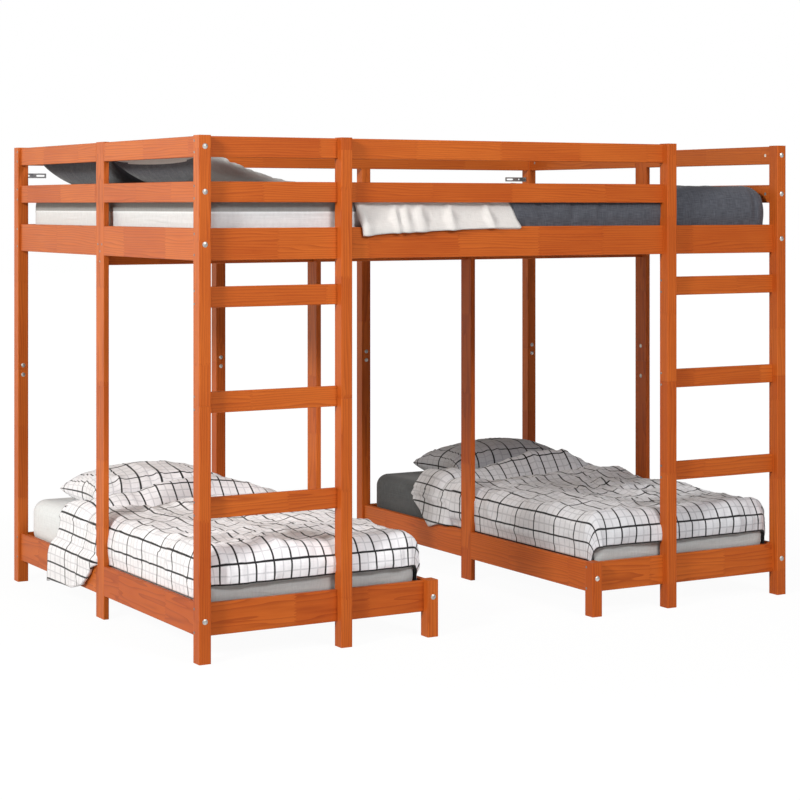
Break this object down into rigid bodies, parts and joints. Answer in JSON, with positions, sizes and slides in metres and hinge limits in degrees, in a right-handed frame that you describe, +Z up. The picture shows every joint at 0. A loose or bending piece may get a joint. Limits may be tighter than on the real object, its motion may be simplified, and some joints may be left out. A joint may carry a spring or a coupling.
{
  "type": "bunk bed",
  "caption": "Solid wood bunk bed: a wide upper deck with guard rails on posts over two lower beds side by side, with built-in ladders and bedding.",
  "frame": {"origin": "on the floor, under the middle of the frame", "axes": "+X along the front from left to right, +Y from the ladders to the wall, +Z up"},
  "size_m": [2.078, 1.4986, 1.452],
  "materials": {
    "stained_wood": "wax-brown stained pine, satin, finger-jointed",
    "plain_wood": "planed pine, untreated",
    "zinc_steel": "zinc plated",
    "bracket_steel": "satin",
    "mattress_cover": "plain woven cover",
    "check_cotton": "cotton with a window-pane check",
    "pale_cotton": "plain cotton",
    "dark_cotton": "plain cotton"
  },
  "bodies": {
    "root": {"front_left_post": "stained_wood", "front_right_post": "stained_wood", "left_ladder_post": "stained_wood", "right_ladder_post": "stained_wood", "left_short_post": "stained_wood", "right_short_post": "stained_wood", "back_left_post": "stained_wood", "back_right_post": "stained_wood", "left_inner_back_post": "stained_wood", "right_inner_back_post": "stained_wood", "left_stile": "stained_wood", "right_stile": "stained_wood", "left_beam_stile": "stained_wood", "right_beam_stile": "stained_wood", "front_deck_rail": "stained_wood", "front_middle_rail": "stained_wood", "front_top_rail": "stained_wood", "back_deck_rail": "stained_wood", "back_middle_rail": "stained_wood", "back_top_rail": "stained_wood", "left_deck_rails": "stained_wood", "left_guard_rails": "stained_wood", "right_deck_rails": "stained_wood", "right_guard_rails": "stained_wood", "left_bed_foot_rail": "stained_wood", "left_bed_head_rail": "stained_wood", "left_bed_outer_rails": "stained_wood", "left_bed_inner_rails": "stained_wood", "right_bed_foot_rail": "stained_wood", "right_bed_head_rail": "stained_wood", "right_bed_outer_rails": "stained_wood", "right_bed_inner_rails": "stained_wood", "left_ladder_rungs": "stained_wood", "right_ladder_rungs": "stained_wood", "deck_beam": "stained_wood", "deck_ledgers": "plain_wood", "bed_ledgers": "plain_wood", "deck_slats": "plain_wood", "left_bed_slats": "plain_wood", "right_bed_slats": "plain_wood", "rail_dowels": "plain_wood", "frame_bolts": "zinc_steel", "stile_studs": "zinc_steel", "barrel_nuts": "zinc_steel", "splice_pins": "zinc_steel", "splice_screws": "zinc_steel", "wall_brackets": "bracket_steel", "left_mattress": "mattress_cover", "right_mattress": "mattress_cover", "deck_mattress": "mattress_cover", "left_pillow": "check_cotton", "right_pillow": "check_cotton", "left_quilt": "check_cotton", "right_quilt": "check_cotton", "deck_front_pillow": "pale_cotton", "deck_quilt_fold": "pale_cotton", "deck_quilt": "dark_cotton", "deck_back_pillow": "dark_cotton"}
  },
  "joints": []
}
